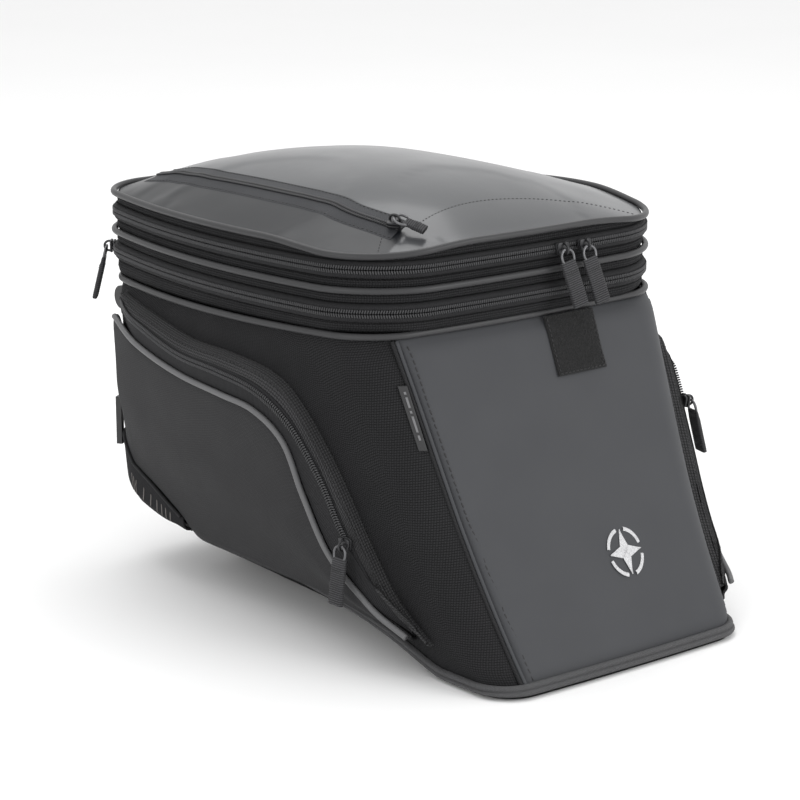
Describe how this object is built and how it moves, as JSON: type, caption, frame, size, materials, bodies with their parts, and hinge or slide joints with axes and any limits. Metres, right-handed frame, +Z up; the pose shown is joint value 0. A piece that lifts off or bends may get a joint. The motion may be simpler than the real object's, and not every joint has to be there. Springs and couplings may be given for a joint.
{
  "type": "motorcycle tail bag",
  "caption": "Expandable textile tail bag with a sloped front, domed zip lid with clear map window, expansion collar, curved side pockets and webbing zip pullers.",
  "frame": {"origin": "middle of the bag's width on the underside of its flat base plate, under the front part of the lid", "axes": "+Z up, the sloping grey panel faces -Y, the carry handle is at +Y, +X to the right seen from behind"},
  "size_m": [0.2807, 0.3843, 0.2676],
  "materials": {
    "body_textile": "coarse black woven polyester",
    "gusset_textile": "heavy black basket-weave textile",
    "guard_textile": "padded black textile with a stitched hatch",
    "pocket_softshell": "smooth charcoal softshell",
    "coated_grey": "matt coated grey fabric with a fine grain",
    "binding_grey": "ribbed mid grey binding",
    "binding_black": "black seam tape",
    "piping_black": "satin black piping",
    "piping_reflective": "light grey reflective piping",
    "zip_tape": "black zip tape with coil teeth",
    "slider_metal": "black enamelled die-cast metal",
    "puller_webbing": "ribbed black webbing",
    "moulded_black": "moulded black plastic",
    "label_rubber": "soft black rubber with plain bars",
    "emblem_thread": "light silver embroidery",
    "window_film": "clear glossy film over dark grey fabric",
    "hook_and_loop": "fuzzy black hook-and-loop",
    "lining": "dark grey lining"
  },
  "bodies": {
    "body": {"base_plate": "moulded_black", "base_board": "lining", "base_hull": "body_textile", "base_binding": "binding_grey", "side_shell": "body_textile", "front_panel": "coated_grey", "front_binding_left": "binding_black", "front_binding_right": "binding_black", "body_piping": "piping_black", "body_liner": "lining", "upper_band": "body_textile", "expansion_zip_lower": "zip_tape", "expansion_gusset": "gusset_textile", "label_tab": "label_rubber", "emblem_patch": "emblem_thread", "corner_guard_left": "guard_textile", "corner_guard_right": "guard_textile", "pocket_gusset_left": "gusset_textile", "pocket_gusset_right": "gusset_textile", "pocket_zip_left": "zip_tape", "pocket_zip_right": "zip_tape", "handle_mount_left": "moulded_black", "handle_mount_right": "moulded_black", "strap_tab_left": "binding_black", "strap_tab_right": "binding_black"},
    "collar": {"collar_band": "body_textile", "collar_piping": "piping_black", "expansion_zip_upper": "zip_tape", "main_zip_lower": "zip_tape"},
    "lid": {"lid_band": "body_textile", "lid_piping": "piping_black", "lid_top": "window_film", "lid_liner": "lining", "main_zip_upper": "zip_tape", "lid_hinge_tape": "body_textile", "map_zip": "zip_tape"},
    "pocket_cover_left": {"pocket_panel_left": "pocket_softshell", "pocket_piping_left": "piping_reflective", "pocket_tape_left": "zip_tape"},
    "pocket_cover_right": {"pocket_panel_right": "pocket_softshell", "pocket_piping_right": "piping_reflective", "pocket_tape_right": "zip_tape"},
    "main_slider_left_body": {"main_slider_left": "slider_metal"},
    "main_slider_right_body": {"main_slider_right": "slider_metal"},
    "main_puller_left_body": {"main_puller_left": "puller_webbing"},
    "main_puller_right_body": {"main_puller_right": "puller_webbing"},
    "expansion_slider_body": {"expansion_slider": "slider_metal"},
    "expansion_puller_body": {"expansion_puller": "puller_webbing"},
    "pocket_slider_left_body": {"pocket_slider_left": "slider_metal"},
    "pocket_slider_right_body": {"pocket_slider_right": "slider_metal"},
    "pocket_puller_left_body": {"pocket_puller_left": "puller_webbing"},
    "pocket_puller_right_body": {"pocket_puller_right": "puller_webbing"},
    "map_slider_body": {"map_slider": "slider_metal"},
    "map_puller_body": {"map_puller": "puller_webbing"},
    "carry_handle_body": {"carry_handle": "moulded_black"},
    "strap_ring_left_body": {"strap_ring_left": "moulded_black"},
    "strap_ring_right_body": {"strap_ring_right": "moulded_black"},
    "hook_flap_body": {"hook_flap": "hook_and_loop"}
  },
  "joints": [
    {"name": "expansion_lift", "type": "slide", "parent": "body", "child": "collar", "axis": [0, 0, 1], "range_m": [0, 0.07], "deforming": ["expansion_gusset"]},
    {"name": "lid_hinge", "type": "hinge", "parent": "collar", "child": "lid", "pos_m": [0, 0.178, 0.228], "axis": [-1, 0, 0], "range_deg": [0, 110]},
    {"name": "main_slider_left_run", "type": "slide", "parent": "collar", "child": "main_slider_left_body", "axis": [-1, 0, 0], "range_m": [0, 0.07]},
    {"name": "main_slider_right_run", "type": "slide", "parent": "collar", "child": "main_slider_right_body", "axis": [1, 0, 0], "range_m": [0, 0.025]},
    {"name": "main_puller_left_swing", "type": "hinge", "parent": "main_slider_left_body", "child": "main_puller_left_body", "pos_m": [0.019, -0.1161, 0.228], "axis": [-1, 0, 0], "range_deg": [-8, 120]},
    {"name": "main_puller_right_swing", "type": "hinge", "parent": "main_slider_right_body", "child": "main_puller_right_body", "pos_m": [0.036, -0.1161, 0.228], "axis": [-1, 0, 0], "range_deg": [-8, 120]},
    {"name": "expansion_slider_run", "type": "hinge", "parent": "body", "child": "expansion_slider_body", "pos_m": [-0.081, 0.143, 0.203], "axis": [0, 0, -1], "range_deg": [0, 35]},
    {"name": "expansion_puller_swing", "type": "hinge", "parent": "expansion_slider_body", "child": "expansion_puller_body", "pos_m": [-0.11356, 0.16708, 0.203], "axis": [0.6293, 0.7771, 0], "range_deg": [-8, 120]},
    {"name": "pocket_cover_left_open", "type": "hinge", "parent": "body", "child": "pocket_cover_left", "pos_m": [-0.1055, 0.005, 0.0365], "axis": [0.033, -0.9963, -0.0795], "range_deg": [0, 14]},
    {"name": "pocket_cover_right_open", "type": "hinge", "parent": "body", "child": "pocket_cover_right", "pos_m": [0.1035, -0.04, 0.03], "axis": [0.0417, 0.9904, 0.132], "range_deg": [0, 14]},
    {"name": "pocket_slider_left_run", "type": "slide", "parent": "pocket_cover_left", "child": "pocket_slider_left_body", "axis": [-0.147, 0.4484, 0.8817], "range_m": [0, 0.02]},
    {"name": "pocket_slider_right_run", "type": "slide", "parent": "pocket_cover_right", "child": "pocket_slider_right_body", "axis": [0.1304, 0.5241, 0.8416], "range_m": [0, 0.015]},
    {"name": "pocket_puller_left_swing", "type": "hinge", "parent": "pocket_slider_left_body", "child": "pocket_puller_left_body", "pos_m": [-0.12406, -0.0876, 0.07067], "axis": [-0.0802, 0.9968, 0], "range_deg": [-8, 120]},
    {"name": "pocket_puller_right_swing", "type": "hinge", "parent": "pocket_slider_right_body", "child": "pocket_puller_right_body", "pos_m": [0.12494, -0.11342, 0.12095], "axis": [-0.2519, -0.9677, 0], "range_deg": [-8, 120]},
    {"name": "map_slider_run", "type": "slide", "parent": "lid", "child": "map_slider_body", "axis": [-0.2905, 0.9353, 0.2021], "range_m": [0, 0.015]},
    {"name": "map_puller_swing", "type": "hinge", "parent": "map_slider_body", "child": "map_puller_body", "pos_m": [-0.07809, -0.07967, 0.25324], "axis": [-0.8491, -0.4246, -0.3142], "range_deg": [0, 100]},
    {"name": "carry_handle_swing", "type": "hinge", "parent": "body", "child": "carry_handle_body", "pos_m": [0, 0.177, 0.166], "axis": [1, 0, 0], "range_deg": [0, 75]},
    {"name": "strap_ring_left_swing", "type": "hinge", "parent": "body", "child": "strap_ring_left_body", "pos_m": [-0.09999, 0.16986, 0.10564], "axis": [0.8277, 0.5611, 0], "range_deg": [0, 80]},
    {"name": "strap_ring_right_swing", "type": "hinge", "parent": "body", "child": "strap_ring_right_body", "pos_m": [0.09999, 0.16986, 0.10564], "axis": [0.8277, -0.5611, 0], "range_deg": [0, 80]},
    {"name": "hook_flap_lift", "type": "hinge", "parent": "body", "child": "hook_flap_body", "pos_m": [0.0285, -0.1079, 0.1865], "axis": [-1, 0, 0], "range_deg": [0, 75]}
  ]
}
